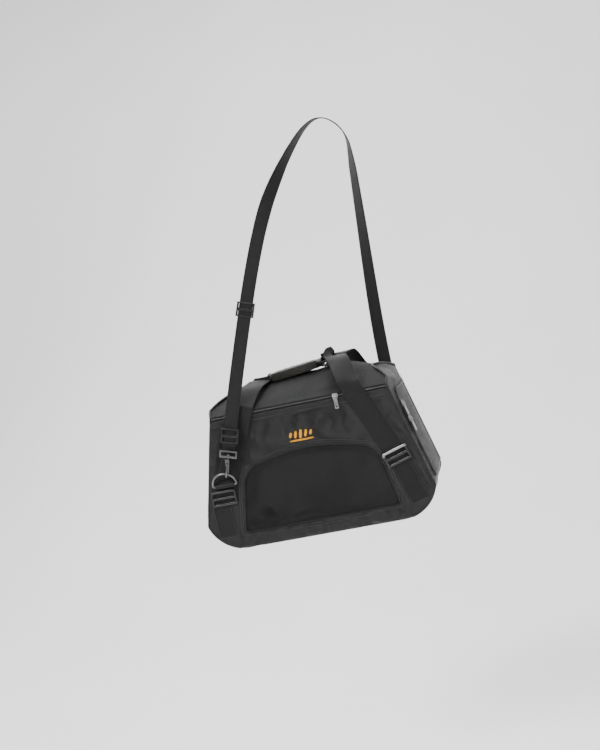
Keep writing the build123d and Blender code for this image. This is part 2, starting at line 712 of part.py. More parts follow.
    save("front_ring", ring())
    save("back_ring", turned(ring()))
    save("front_ring_tab", ring_tab())
    save("back_ring_tab", turned(ring_tab()))
    save("front_hook", front_hook_frame.location * hook())
    save("back_hook", turned(back_hook_frame.location * hook()))
    save("front_hook_gate", front_hook_frame.location * gate())
    save("back_hook_gate", turned(back_hook_frame.location * gate()))
    save("front_hook_eye", front_hook_frame.location * hook_eye())
    save("back_hook_eye", turned(back_hook_frame.location * hook_eye()))
    save("shoulder_strap", strap())
    save("front_strap_buckle", strap_buckle(0, 0.32))
    save("back_strap_buckle", strap_buckle(7, 0.68))
    save("strap_length_slider", strap_buckle(1, adjuster_along))

    save("top_zip_slider", top_slider_place.location * slider(hung_rod_height))
    save("top_zip_pull", Pos(*top_pull_at) * hung_pull())
    for name, along in (("upper", upper_along), ("lower", lower_along)):
        place = door_slider_place(along).location
        save("right_" + name + "_slider", place * slider(flat_rod_height))
        save("left_" + name + "_slider", turned(place * slider(flat_rod_height)))
        save("right_" + name + "_pull", place * flat_pull())
        save("left_" + name + "_pull", turned(place * flat_pull()))

    save("grip_wrap", grip_wrap())
    save("grip_wrap_flap", grip_flap())
    board_low = wall + clearance
    mat_low = board_low + board_thickness + clearance
    board = Pos(0, 0, board_low + board_thickness / 2) * Box(2 * floor_half, floor_width, board_thickness)
    save("base_board", fillet(board.edges().filter_by(Axis.Z), 20))
    mat = Pos(0, 0, mat_low + mat_thickness / 2) * Box(2 * floor_half, floor_width, mat_thickness)
    mat = fillet(mat.edges().filter_by(Axis.Z), 22)
    save("padded_mat", fillet(mat.edges().group_by(Axis.Z)[-1], 4))
    save("frame_rods", frame_rods())


if __name__ == "__main__":
    build()
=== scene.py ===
import random
from math import atan2, cos, exp, pi, radians, sin, sqrt, tan

import bpy
from mathutils import Matrix, Vector, noise
from mathutils.bvhtree import BVHTree


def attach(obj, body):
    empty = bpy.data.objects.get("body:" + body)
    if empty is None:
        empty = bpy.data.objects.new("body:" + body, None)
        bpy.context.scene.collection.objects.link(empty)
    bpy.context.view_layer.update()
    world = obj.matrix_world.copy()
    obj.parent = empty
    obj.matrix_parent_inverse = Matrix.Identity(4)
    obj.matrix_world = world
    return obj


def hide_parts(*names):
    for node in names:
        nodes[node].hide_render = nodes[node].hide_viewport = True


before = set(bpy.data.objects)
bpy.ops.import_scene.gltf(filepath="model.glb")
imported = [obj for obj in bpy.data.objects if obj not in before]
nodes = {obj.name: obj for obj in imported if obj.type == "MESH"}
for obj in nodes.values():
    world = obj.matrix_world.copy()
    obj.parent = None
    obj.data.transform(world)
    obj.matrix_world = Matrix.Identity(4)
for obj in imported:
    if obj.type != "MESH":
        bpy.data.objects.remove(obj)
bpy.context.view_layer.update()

# A soft-sided pet carrier, carried on its shoulder strap.  Metres, in the frame's own axes:
# +Z up, +X to the bag's right, the front faces -Y.
random.seed(7)

# ------------------------------------------------------------------ sizes shared with the frame
half_depth = 0.1005
crown_height = 0.275
corner_radius = 0.072
foot_centre = 0.145
foot_lean = radians(10)
shoulder_radius, shoulder_x = 0.066, 0.122
shoulder_start = 0.212
shoulder_top = crown_height + 0.001
lean = radians(14)
end_reach = 0.2265
end_bulge = 0.0125
bulge_radius = (half_depth**2 + end_bulge**2) / (2 * end_bulge)
dome_radius = (half_depth**2 + 0.026**2) / (2 * 0.026)
dome_centre = crown_height - dome_radius
tape_low = 0.242
zip_height = 0.245
piping_radius = 0.0024
cloth_thickness = 0.0014
door_half_width = 0.076
door_sill, door_head, door_corner = 0.062, 0.232, 0.020
window_points = [(-0.147, 0.027), (-0.125, 0.145), (0, 0.171), (0.125, 0.145), (0.147, 0.027)]
window_radii = [0.006, 0.045, 0.300, 0.045, 0.006]
web_width, web_thickness = 0.038, 0.0018
strap_width, strap_thickness = 0.025, 0.0018
left_leg_x = -0.180
left_glide_at = (-0.172, 0.099)
right_glide_at = (0.157, 0.117)
leg_top = (0.103, 0.249)
right_leg_foot = (0.188, 0.012)
leg_y = half_depth + 0.0018
sewn_y = half_depth + 0.0009
wrap_length, wrap_width, wrap_height = 0.106, 0.044, 0.019
wrap_tilt = radians(6)
wrap_centre = Vector((-0.007, 0, 0.2945))
strap_route = [(-0.1403, -0.1146, 0.1888), (-0.118, -0.113, 0.262), (-0.011, -0.066, 0.566),
               (0.058, -0.036, 0.677), (0.128, -0.008, 0.752), (0.178, 0.014, 0.712),
               (0.173, 0.040, 0.640), (0.143, 0.113, 0.262), (0.1497, 0.1146, 0.1906)]
strap_across = [(0.957, 0, -0.289), (0.94, 0, -0.33), (0.94, 0, -0.33), (0.5, 0.85, -0.1), (0.05, 1, 0),
                (-0.1, 1, 0.1), (-0.6, 0.8, 0), (-1, 0, 0), (-1, 0, 0)]


def added(name, data):
    """A new object in the scene."""
    obj = bpy.data.objects.new(name, data)
    bpy.context.scene.collection.objects.link(obj)
    return obj


def shares(count):
    """Even steps from 0 to 1."""
    return [i / (count - 1) for i in range(count)]


def spans(count):
    """Even steps from -1 to 1."""
    return [-1 + 2 * i / (count - 1) for i in range(count)]


# ------------------------------------------------------------------ camera
azimuth, elevation, roll = radians(10), radians(6), radians(12.5)
toward = Vector((sin(azimuth) * cos(elevation), -cos(azimuth) * cos(elevation), sin(elevation)))
level_right = Vector((cos(azimuth), sin(azimuth), 0))
level_up = toward.cross(level_right)
image_right = level_right * cos(roll) - level_up * sin(roll)
image_up = level_right * sin(roll) + level_up * cos(roll)
aim = Vector((0, 0, 0.14)) - image_right * 0.033 + image_up * 0.139
camera = added("camera", bpy.data.cameras.new("camera"))
camera.data.lens = 65
camera.data.sensor_width = 36
place = Matrix((image_right, image_up, toward)).transposed().to_4x4()
place.translation = aim + toward * 2.56
camera.matrix_world = place
bpy.context.scene.camera = camera


# ------------------------------------------------------------------ materials
class Nodes:
    """A material's node tree, with short calls to add nodes."""

    def __init__(self, name):
        self.material = bpy.data.materials.new(name)
        self.material.use_nodes = True
        self.tree = self.material.node_tree
        self.shader = self.tree.nodes["Principled BSDF"]

    def add(self, kind, **values):
        node = self.tree.nodes.new(kind)
        for key, value in values.items():
            setattr(node, key, value)
        return node

    def link(self, source, target):
        self.tree.links.new(source, target)

    def math(self, operation, first, second=None):
        node = self.add("ShaderNodeMath", operation=operation)
        for socket, value in zip(node.inputs, (first, second)):
            if value is None:
                continue
            if isinstance(value, (int, float)):
                socket.default_value = value
            else:
                self.link(value, socket)
        return node.outputs[0]

    def coordinates(self, kind):
        node = self.add("ShaderNodeTexCoord")
        split = self.add("ShaderNodeSeparateXYZ")
        self.link(node.outputs[kind], split.inputs[0])
        return node.outputs[kind], split.outputs

    def wave(self, value, pitch):
        return self.math("SINE", self.math("MULTIPLY", value, 2 * pi / pitch))

    def noise(self, vector, scale, detail=3.0, roughness=0.5):
        node = self.add("ShaderNodeTexNoise")
        node.inputs["Scale"].default_value = scale
        node.inputs["Detail"].default_value = detail
        node.inputs["Roughness"].default_value = roughness
        self.link(vector, node.inputs["Vector"])
        return node.outputs[0]

    def ramp(self, value, low, high, start=0.3, end=0.7):
        node = self.add("ShaderNodeValToRGB")
        node.color_ramp.elements[0].position, node.color_ramp.elements[1].position = start, end
        node.color_ramp.elements[0].color, node.color_ramp.elements[1].color = (*low, 1), (*high, 1)
        self.link(value, node.inputs[0])
        return node.outputs[0]

    def plus(self, first, second, share):
        return self.math("ADD", first, self.math("MULTIPLY", second, share))

    def put(self, name, value):
        self.shader.inputs[name].default_value = value

    def colour(self, value, dark, light, start=0.3, end=0.7):
        self.link(self.ramp(value, linear(*dark), linear(*light), start, end), self.shader.inputs["Base Color"])

    def gloss(self, value, low, high):
        self.link(self.range(value, low, high), self.shader.inputs["Roughness"])

    def bump(self, height, strength, distance):
        node = self.add("ShaderNodeBump")
        node.inputs["Strength"].default_value = strength
        node.inputs["Distance"].default_value = distance
        self.link(height, node.inputs["Height"])
        self.link(node.outputs[0], self.shader.inputs["Normal"])

    def range(self, value, low, high):
        node = self.add("ShaderNodeMapRange")
        node.inputs["To Min"].default_value, node.inputs["To Max"].default_value = low, high
        self.link(value, node.inputs[0])
        return node.outputs[0]


def linear(*values):
    """sRGB values of 0 to 255 as a linear colour."""
    return tuple(value / 255 / 12.92 if value < 11 else ((value / 255 + 0.055) / 1.055) ** 2.4
                 for value in values)


def woven(name, dark, light, thread=0.0007, roughness=(0.5, 0.72), sheen=0.3, depth=0.00025):
    """Close plain weave that works on faces turned any way."""
    mat = Nodes(name)
    whole, (x, y, z) = mat.coordinates("Object")
    warp = mat.wave(mat.math("ADD", x, y), thread)
    weft = mat.wave(mat.math("ADD", z, mat.math("SUBTRACT", x, y)), thread)
    weave = mat.math("MULTIPLY", warp, weft)
    cloudy = mat.noise(whole, 22, 4)
    fibre = mat.noise(whole, 900, 2)
    mat.colour(mat.plus(mat.math("MULTIPLY", cloudy, 0.7), fibre, 0.3), dark, light)
    mat.gloss(cloudy, *roughness)
    mat.put("Sheen Weight", sheen)
    mat.put("Specular IOR Level", 0.3)
    mat.put("Sheen Roughness", 0.4)
    mat.bump(mat.plus(weave, fibre, 1.2), 0.55, depth)
    return mat.material


def webbing_cloth(name, dark, light):
    """Ribbed webbing: picks across it and a chevron along it, in metres of its own UV."""
    mat = Nodes(name)
    whole, (u, v, _) = mat.coordinates("UV")
    slant = mat.math("ABSOLUTE", mat.wave(u, 0.0095))
    picks = mat.wave(mat.plus(v, slant, 0.0022), 0.0019)
    height = mat.plus(picks, mat.wave(u, 0.0013), 0.5)
    grey = mat.noise(whole, 60, 3)
    # grey is random tone; the added height makes the raised picks lighter and the grooves darker, a painted
    # highlight on the ribs and painted shade in the grooves
    mat.colour(mat.plus(grey, height, 0.12), dark, light)
    mat.gloss(grey, 0.42, 0.62)
    mat.put("Sheen Weight", 0.04)
    mat.put("Specular IOR Level", 0.22)
    mat.bump(height, 0.7, 0.0003)
    return mat.material


def netting(name, dark, light, pitch=0.0017, cover=-0.35, roughness=(0.55, 0.75)):
    """Knitted mesh: small holes in rows, painted dark as painted shade of the bag's inside seen through them,
    with raised ribs.
    """
    mat = Nodes(name)
    whole, (x, y, z) = mat.coordinates("Object")
    along = mat.wave(mat.math("ADD", x, y), pitch)
    up = mat.wave(mat.plus(z, mat.math("SUBTRACT", x, y), 0.5), pitch)
    cell = mat.math("MULTIPLY", along, up)
    cloudy = mat.noise(whole, 30, 3)
    # thread is 1 on the threads and 0.15 in the holes: the holes are painted shade, standing in for the dark
    # inside seen through the open mesh
    thread = mat.range(mat.math("GREATER_THAN", cell, cover), 0.15, 1.0)
    mat.colour(mat.math("MULTIPLY", mat.plus(0.2, cloudy, 0.6), thread), dark, light, 0.1, 0.7)
    mat.put("Specular IOR Level", 0.25)
    mat.gloss(cloudy, *roughness)
    mat.bump(mat.plus(along, cell, 0.6), 0.8, 0.0004)
    return mat.material


def metal(name, dark, light, roughness, scratches=0.15):
    mat = Nodes(name)
    whole = mat.coordinates("Object")[0]
    stain = mat.noise(whole, 55, 5)
    fine = mat.noise(whole, 1400, 2)
    mat.colour(stain, dark, light)
    mat.put("Metallic", 1.0)
    mat.gloss(mat.plus(mat.math("MULTIPLY", stain, 0.7), fine, 0.3), roughness - 0.07, roughness + 0.12)
    mat.bump(fine, scratches, 0.0001)
    return mat.material


def enamel(name, dark, light, roughness):
    """Black coated metal or moulded plastic."""
    mat = Nodes(name)
    whole = mat.coordinates("Object")[0]
    stain = mat.noise(whole, 80, 4)
    mat.colour(stain, dark, light)
    mat.gloss(stain, roughness - 0.06, roughness + 0.1)
    mat.put("Coat Weight", 0.4)
    mat.put("Coat Roughness", 0.2)
    mat.bump(mat.noise(whole, 700, 2), 0.1, 0.0001)
    return mat.material


shell_cloth = woven("charcoal_nylon", (5, 5, 6), (14, 13, 15), roughness=(0.30, 0.44), sheen=0.02)
piping_cloth = woven("piping_cloth", (9, 9, 10), (19, 19, 20), thread=0.0009, roughness=(0.28, 0.42),
                     sheen=0.05, depth=0.0003)
tape_cloth = woven("zipper_tape", (8, 8, 9), (16, 16, 17), thread=0.0009, sheen=0.08)
grip_cloth = woven("grip_fleece", (18, 18, 15), (36, 35, 28), thread=0.0011, roughness=(0.32, 0.46), sheen=0.15,
                   depth=0.0004)
mat_cloth = woven("mat_fleece", (52, 50, 50), (82, 79, 77), thread=0.0013, roughness=(0.7, 0.9), sheen=0.8,
                  depth=0.0006)
thread_cloth = woven("sewing_thread", (34, 33, 34), (54, 53, 54), thread=0.0005, depth=0.0001)
gold_thread = woven("gold_thread", (196, 122, 4), (240, 172, 14), thread=0.0008, roughness=(0.35, 0.5),
                    sheen=0.02, depth=0.0003)
web_cloth = webbing_cloth("webbing", (4, 4, 5), (15, 15, 16))
strap_cloth = webbing_cloth("strap_webbing", (6, 6, 7), (17, 17, 18))
window_net = netting("window_net", (3, 3, 3), (21, 21, 23), cover=-0.45, roughness=(0.36, 0.52))
roof_net = netting("roof_net", (3, 3, 3), (17, 17, 18), pitch=0.0022, cover=-0.40)
board_stuff = woven("base_board", (40, 38, 36), (66, 62, 58), thread=0.0016, roughness=(0.6, 0.8), sheen=0.1)
nickel = metal("nickel", (140, 137, 135), (188, 184, 182), 0.26)
dull_steel = metal("dull_steel", (84, 83, 84), (124, 123, 124), 0.3)
rod_steel = metal("rod_steel", (110, 110, 112), (150, 150, 152), 0.4)
black_coat = enamel("black_enamel", (7, 7, 8), (18, 18, 19), 0.2)
coil_nylon = enamel("coil_nylon", (12, 12, 13), (26, 26, 27), 0.32)


# ------------------------------------------------------------------ building pieces
def piece(name, points, faces, material, replaces=(), uvs=None, body="carrier"):
    mesh = bpy.data.meshes.new(name)
    mesh.from_pydata([tuple(point) for point in points], [], faces)
    if uvs:
        layer = mesh.uv_layers.new(name="uv")
        for loop in mesh.loops:
            layer.data[loop.index].uv = uvs[loop.vertex_index]
    mesh.validate()
    mesh.shade_smooth()
    mesh.materials.append(material)
    obj = added(name, mesh)
    finish_piece(obj, body, replaces)
    return obj


def finish_piece(obj, body, replaces):
    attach(obj, body)
    if replaces:
        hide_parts(*replaces)


def modified(obj, *modifiers):
    """Apply modifiers given as (type, {setting: value})."""
    for kind, settings in modifiers:
        modifier = obj.modifiers.new(kind.lower(), kind)
        for key, value in settings.items():
            setattr(modifier, key, value)
    bpy.context.view_layer.update()
    ready = obj.evaluated_get(bpy.context.evaluated_depsgraph_get())
    fresh = bpy.data.meshes.new_from_object(ready)
    obj.modifiers.clear()
    obj.data = fresh
    return obj


def grid_faces(rows, columns, wrap_columns=False, flip=False):
    faces = []
    last = columns if wrap_columns else columns - 1
    for row in range(rows - 1):
        for column in range(last):
            following = (column + 1) % columns
            face = (row * columns + column, row * columns + following, (row + 1) * columns + following,
                    (row + 1) * columns + column)
            faces.append(face[::-1] if flip else face)
    return faces


def sweep(points, profile, sides=None, closed=False, scales=None):
    """Points, faces and UVs of a profile of (across, up) offsets swept along a line."""
    count, size = len(points), len(profile)
    points = [Vector(point) for point in points]
    rings, uvs = [], []
    side, length = None, 0
    girth = [0]
    for index in range(1, size):
        girth.append(girth[-1] + (Vector(profile[index]) - Vector(profile[index - 1])).length)
    for index, point in enumerate(points):
        before = points[index - 1] if index or closed else point
        after = points[(index + 1) % count] if index < count - 1 or closed else point
        along = (after - before).normalized()
        if sides:
            side = Vector(sides[index])
        elif side is None:
            side = along.orthogonal()
        side = (side - along * side.dot(along)).normalized()
        up = along.cross(side)
        scale = scales[index] if scales else 1
        if index:
            length += (point - points[index - 1]).length
        for across, rise in profile:
            rings.append(point + (side * across + up * rise) * scale)
        uvs += [(distance, length) for distance in girth]
    faces = grid_faces(count, size, True)
    if closed:
        end = (count - 1) * size
        faces += [(end + i, end + (i + 1) % size, (i + 1) % size, i) for i in range(size)]
    else:
        faces.append(tuple(reversed(range(size))))
        faces.append(tuple(range((count - 1) * size, count * size)))
    return rings, faces, uvs


def swept(name, line, profile, material, slot, replaces=(), body="carrier", **how):
    rings, faces, uvs = sweep(line, profile, **how)
    return piece(name, rings, faces, material, replaces, uvs, body)


def round_profile(radius, steps=12):
    return [(radius * cos(2 * pi * i / steps), radius * sin(2 * pi * i / steps)) for i in range(steps)]


def band_profile(width, thickness):
    """Flat webbing with rounded, slightly thinner edges and several points across it."""
    half, thick = width / 2, thickness / 2
    upper = [(half * share, thick * (1.0 if abs(share) < 0.9 else 0.72)) for share in
             (0.985, 0.93, 0.85, 0.55, 0.2, -0.2, -0.55, -0.85, -0.93, -0.985)]
    lower = [(x, -y) for x, y in reversed(upper)]
    return [(half, 0)] + upper + [(-half, 0)] + lower


def line_length(line):
    return sum((b - a).length for a, b in zip(line, line[1:]))


def resampled(points, step, closed=False):
    """The same line with evenly spaced points."""
    points = [Vector(point) for point in points]
    if closed:
        points.append(points[0])
    gaps = [(b - a).length for a, b in zip(points, points[1:])]
    total = sum(gaps)
    count = max(2, round(total / step))
    result, run, passed = [], 0, 0.0
    for index in range(count + (0 if closed else 1)):
        distance = total * index / count
        while run < len(gaps) - 1 and passed + gaps[run] < distance:
            passed += gaps[run]
            run += 1
        share = (distance - passed) / gaps[run] if gaps[run] else 0
        result.append(points[run].lerp(points[run + 1], min(share, 1)))
    return result


def smooth_line(points, steps=10):
    """Catmull-Rom line through points."""
    points = [Vector(point) for point in points]
    result = []
    for index in range(len(points) - 1):
        a = points[max(index - 1, 0)]
        b, c = points[index], points[index + 1]
        d = points[min(index + 2, len(points) - 1)]
        for step in range(steps):
            t = step / steps
            result.append(0.5 * ((2 * b) + (c - a) * t + (2 * a - 5 * b + 4 * c - d) * t * t
                                 + (3 * b - a - 3 * c + d) * t**3))
    result.append(points[-1])
    return result


def rounded_corners(points, radii, steps=10):
    """Closed outline of 2-D points with its corners rounded."""
    result, count = [], len(points)
    for index, radius in enumerate(radii):
        corner = Vector(points[index])
        back = (Vector(points[index - 1]) - corner).normalized()
        ahead = (Vector(points[(index + 1) % count]) - corner).normalized()
        half = back.angle(ahead) / 2
        reach = radius / tan(half)
        start, end = corner + back * reach, corner + ahead * reach
        centre = corner + (back + ahead).normalized() * (radius / sin(half))
        for step in range(steps + 1):
            arm = (start - centre).lerp(end - centre, step / steps)
            result.append(centre + arm.normalized() * radius)
    return result


stitch_pitch, stitch_length, stitch_radius = 0.0042, 0.0028, 0.00038


def stitches(name, line, lift, body="carrier"):
    """A row of stitches, each a short raised thread, along a line of points with its outward direction."""
    line = resampled(line, stitch_pitch)
    points, faces = [], []
    for a, b in zip(line, line[1:]):
        along = (b - a).normalized()
        up = Vector(lift)
        up = (up - along * up.dot(along)).normalized()
        side = along.cross(up)
        base = len(points)
        for share, size in ((0, 0.35), (0.25, 1), (0.75, 1), (1, 0.35)):
            centre = a + along * stitch_length * share + up * stitch_radius * (size - 0.6)
            for across, rise in ((1, 0), (0, 1), (-1, 0), (0, -1)):
                points.append(centre + (side * across + up * rise) * stitch_radius * size)
        for ring in range(3):
            for i in range(4):
                j = (i + 1) % 4
                low, high = base + ring * 4, base + ring * 4 + 4
                faces.append((low + i, low + j, high + j, high + i))
        faces.append((base + 3, base + 2, base + 1, base))
        faces.append((base + 12, base + 13, base + 14, base + 15))
    piece(name, points, faces, thread_cloth, body=body)


# ------------------------------------------------------------------ the bag's surfaces
def smoothstep(low, high, value):
    share = min(max((value - low) / (high - low), 0), 1)
    return share * share * (3 - 2 * share)


def dome(y):
    return dome_centre + sqrt(dome_radius**2 - y * y)


def outline_reach(z):
    """Half width of the front outline at a height."""
    bend_z = corner_radius * (1 + sin(foot_lean))
    if z < bend_z:
        return foot_centre + sqrt(max(corner_radius**2 - (corner_radius - z) ** 2, 0))
    if z < shoulder_start:
        return foot_centre + corner_radius * cos(foot_lean) - (z - bend_z) * tan(foot_lean)
    centre = shoulder_top - shoulder_radius
    return shoulder_x + sqrt(max(shoulder_radius**2 - (z - centre) ** 2, 0))


def drum_reach(y, z):
    swell = end_reach * cos(lean) + end_bulge - bulge_radius + sqrt(bulge_radius**2 - y * y)
    return swell / cos(lean) - z * tan(lean)


def reach(y, z):
    """Half width of the bag at a depth and height."""
    return min(outline_reach(z), drum_reach(y, z))


def heights(top, steps):
    """Heights up a side: round the lower corner, then in even steps to the top."""
    corner = [corner_radius * (1 + sin(-pi / 2 + (pi / 2) * i / 40)) for i in range(41)]
    return corner + [corner_radius + (top - corner_radius) * i / steps for i in range(1, steps + 1)]


def section(y, count):
    """Line round the right half at a depth, from the middle of the base to the roof's edge."""
    line = [Vector((0, y, 0)), Vector((foot_centre, y, 0))]
    line += [Vector((reach(y, z), y, z)) for z in heights(dome(y), 89)[1:]]
    return resampled(line, line_length(line) / (count - 1))[:count]


def end_point(y, z, lift=0.0, side=1):
    """Point on an end surface, lifted off it."""
    x = reach(y, z)
    step = 0.002
    slope_z = (reach(y, z + step) - reach(y, z - step)) / (2 * step)
    slope_y = (reach(y + step, z) - reach(y - step, z)) / (2 * step)
    normal = Vector((1, -slope_y, -slope_z)).normalized()
    point = Vector((x, y, z)) + normal * lift
    return Vector((point.x * side, point.y, point.z)), Vector((normal.x * side, normal.y, normal.z))


legs = [((left_leg_x, 0.01), left_glide_at), (left_glide_at, (-leg_top[0], leg_top[1])),
        (right_leg_foot, right_glide_at), (right_glide_at, leg_top)]


def ripple(*place):
    """Smooth noise at a place."""
    return noise.noise(Vector(place))


def near_leg(x, z):
    """1 where webbing lies on the panel, 0 away from it."""
    best = 1.0
    for (ax, az), (bx, bz) in legs:
        dx, dz = bx - ax, bz - az
        share = min(max(((x - ax) * dx + (z - az) * dz) / (dx * dx + dz * dz), 0), 1)
        best = min(best, sqrt((x - ax - share * dx) ** 2 + (z - az - share * dz) ** 2))
    return 1 - smoothstep(0.019, 0.034, best)


def rumple(x, y, z, scale, seed):
    """Folded noise: soft crests with sharper valleys."""
    value = ripple(x * scale + seed, y * scale - seed, z * scale)
    return 1 - 2 * abs(value) ** 0.8


def panel_relief(x, z, share, face):
    """How far the front or back panel stands out; share runs from the window (0) to the edge (1)."""
    seed = 3.1 if face < 0 else 8.6
    inside = sin(pi * share) ** 0.7
    fill = 0.0036 * inside
    upright = ripple(x * 32 + seed, 2.0, z * 8) * 0.0095
    drag = ripple((x * 0.8 - z * 0.6) * 16, seed, (x * 0.6 + z * 0.8) * 48) * 0.0052
    small = rumple(x, 0, z, 36, seed) * 0.0022
    high = smoothstep(0.150, 0.215, z)
    folds = (upright * high + drag * (1 - 0.5 * high) + small) * inside
    relief = fill + folds
    quiet = near_leg(x, z) if face < 0 else near_leg(-x, z)
    relief = relief * (1 - quiet) + min(relief, 0.0002) * quiet
    band = smoothstep(0.2285, 0.2300, z) * 0.0008
    relief = relief * (1 - 0.85 * smoothstep(0.222, 0.230, z)) + band * (1 - quiet)
    return relief


def crossing(outline, angle, centre):
    """Where a ray from the centre meets a closed convex outline."""
    ray = Vector((cos(angle), sin(angle)))
    best = 0
    for a, b in zip(outline, outline[1:] + outline[:1]):
        pa, pb = a - centre, b - centre
        ca, cb = ray.x * pa.y - ray.y * pa.x, ray.x * pb.y - ray.y * pb.x
        if (ca <= 0 < cb) or (cb <= 0 < ca):
            hit = pa.lerp(pb, ca / (ca - cb))
            if hit.dot(ray) > 0:
                best = max(best, hit.dot(ray))
    return centre + ray * best


window_outline = rounded_corners(window_points, window_radii)
edge_y = half_depth
half_line = [Vector((reach(edge_y, height), height)) for height in heights(tape_low, 39)]
panel_outline = half_line + [Vector((-p.x, p.y)) for p in reversed(half_line)]
panel_centre = Vector((0, 0.095))


def make_panel(face, name):
    """Front or back panel between its arched window and its edge."""
    rows = 34
    points, flat = [], []
    outer = resampled([Vector((p.x, p.y, 0)) for p in panel_outline], 0.0015, True)
    directions = [atan2(p.y - panel_centre.y, p.x) for p in outer]
    for share in shares(rows):
        for angle, rim in zip(directions, outer):
            inner = crossing(window_outline, angle, panel_centre)
            at = inner.lerp(Vector((rim.x, rim.y)), share)
            relief = panel_relief(at.x, at.y, share, face)
            points.append(Vector((at.x * -face, face * (half_depth + relief), at.y)))
            flat.append((at.x, at.y))
    faces = grid_faces(rows, len(outer), True)
    obj = piece(name, points, faces, shell_cloth, [name.replace("_cloth", "")], flat)
    return modified(obj, ("SOLIDIFY", {"thickness": cloth_thickness, "offset": -1.0}))


front = make_panel(-1, "front_panel_cloth")
back = make_panel(1, "back_panel_cloth")


def window_relief(x, z, share):
    """Folds of the slack window mesh, gathered most at its lower left."""
    edge = smoothstep(0, 0.22, 1 - share)
    crumple = exp(-(((x + 0.085) / 0.05) ** 2 + ((z - 0.055) / 0.03) ** 2))
    slow = ripple(x * 11, 4.0, z * 15) * 0.0060
    sharp = (1 - abs(ripple((x + z * 0.6) * 30, 1.0, (z - x * 0.5) * 16) * 3)) * 0.0048 * crumple
    return edge * (-0.0045 + slow + sharp)


def make_window(face, name):
    rows, points, flat = 46, [], []
    rim = resampled([Vector((p.x, p.y, 0)) for p in window_outline], 0.0022, True)
    centre = Vector((0, 0.09, 0))
    for row in range(rows):
        share = 0.02 + 0.98 * row / (rows - 1)
        for point in rim:
            at = centre.lerp(point, share)
            level = half_depth - 0.0004 + window_relief(at.x, at.y, share)
            points.append(Vector((at.x * -face, face * level, at.y)))
            flat.append((at.x, at.y))
    count = len(rim)
    faces = grid_faces(rows, count, True)
    faces.append(tuple(reversed(range(count))))
    piece(name, points, faces, window_net, [name.replace("_net", "_mesh")], flat)


make_window(-1, "front_window_net")
make_window(1, "back_window_net")


def gusset_relief(y, s, z, side):
    """How far the base and ends swell between the pipings."""
    across = cos(pi / 2 * min(abs(y) / half_depth, 1)) ** 0.6
    sink = 0 if z < 0.004 else 1
    folds = ripple(y * 22, s * 30, side * 5.0) * 0.0030
    sharp = ripple((y - z * 0.4) * 34, side * 2.0, z * 20) * 0.0013
    door = smoothstep(0.066, 0.090, abs(y)) if 0.05 < z < 0.245 else 1
    return across**0.5 * (folds + sharp) * sink * (0.35 + 0.65 * door)


def make_gusset():
    """Base and both ends as one cloth, with the door openings cut out."""
    columns, rows = 132, 190
    for side, name in ((1, "right"), (-1, "left")):
        points, uvs, cut = [], [], set()
        for column in range(columns):
            y = -half_depth + 2 * half_depth * column / (columns - 1)
            for s, point in zip(shares(rows), section(y, rows)):
                if point.z > 0.003:
                    normal = end_point(y, min(point.z, dome(y) - 0.0001))[1]
                    point = point + normal * gusset_relief(y, s, point.z, side)
                if abs(y) < door_half_width and door_sill < point.z < door_head and s > 0.4:
                    cut.add(len(points))
                points.append(Vector((point.x * side, point.y, max(point.z, 0))))
                uvs.append((y, s * 0.45))
        faces = grid_faces(columns, rows, flip=side > 0)
        faces = [face for face in faces if not all(index in cut for index in face)]
        replaced = [name + "_end_panel"] + (["base_panel"] if side > 0 else [])
        obj = piece(name + "_gusset_cloth", points, faces, shell_cloth, replaced, uvs)
        modified(obj, ("SOLIDIFY", {"thickness": cloth_thickness, "offset": -1.0}))


make_gusset()


def roof_relief(x, y):
    edge = smoothstep(0, 0.02, half_depth - abs(y))
    slow = ripple(x * 14, y * 12, 9.0) * 0.0022
    sharp = ripple(x * 34, y * 18, 5.0) * 0.0012
    crown = cos(pi / 2 * min(abs(y) / half_depth, 1)) * (1 - smoothstep(0.085, 0.150, abs(x)))
    return edge * (slow + sharp - 0.0012 + min(max(0.0125 + 0.08 * x, 0.007), 0.0160) * crown)


def arch_reach(y):
    top = dome(y) - 0.0002
    return reach(y, top)


def make_roof():
    columns, rows = 190, 120
    points, uvs = [], []
    for v in spans(rows):
        y = v * (half_depth - 0.0003)
        for u in spans(columns):
            x = arch_reach(y) * u
            points.append(Vector((x, y, dome(y) + roof_relief(x, y))))
            uvs.append((x, y))
    piece("roof_net", points, grid_faces(rows, columns), roof_net, ["top_panel"], uvs)


make_roof()

# ------------------------------------------------------------------ pipings
edge_line = [Vector((0, -half_depth, piping_radius + 0.0001))]
for p in half_line:
    edge_line.append(Vector((p.x - 0.0006, -half_depth, max(p.y, piping_radius + 0.0001))))
edge_line = [p for p in edge_line if p.z <= tape_low - 0.001]


def uneven(line, amount, seed):
    return [point + Vector((noise.noise(point * 30 + Vector((seed, 0, 0))), 0,
                            noise.noise(point * 30 + Vector((0, seed, 0))))) * amount for point in line]


for face, name in ((-1, "front"), (1, "back")):
    loop = [Vector((-p.x, p.y, p.z)) for p in reversed(edge_line[1:])] + edge_line
    loop = resampled([Vector((p.x * -face, -face * p.y, p.z)) for p in loop], 0.003)
    swept(name + "_piping_cord", uneven(loop, 0.0005, face * 3), round_profile(piping_radius), piping_cloth,
          "piping", [name + "_piping"])
for side, name in ((1, "right"), (-1, "left")):
    arch = []
    for v in spans(60):
        y = v * half_depth
        arch.append(Vector((side * (arch_reach(y) + 0.0004), y, dome(y) + 0.0004)))
    start = [Vector((side * (reach(edge_y, z) - 0.0003), -half_depth, z)) for z in (0.2395, 0.2425, 0.2455)]
    close = [Vector((p.x, half_depth, p.z)) for p in reversed(start)]
    line = resampled(smooth_line(start + arch[3:-3] + close, 4), 0.003)
    swept(name + "_arch_cord", line, round_profile(piping_radius), piping_cloth, "piping",
          [name + "_arch_piping"])

# ------------------------------------------------------------------ window bindings and seams
def on_face(x, z, face, lift):
    return Vector((x * -face, face * (half_depth + lift), z))


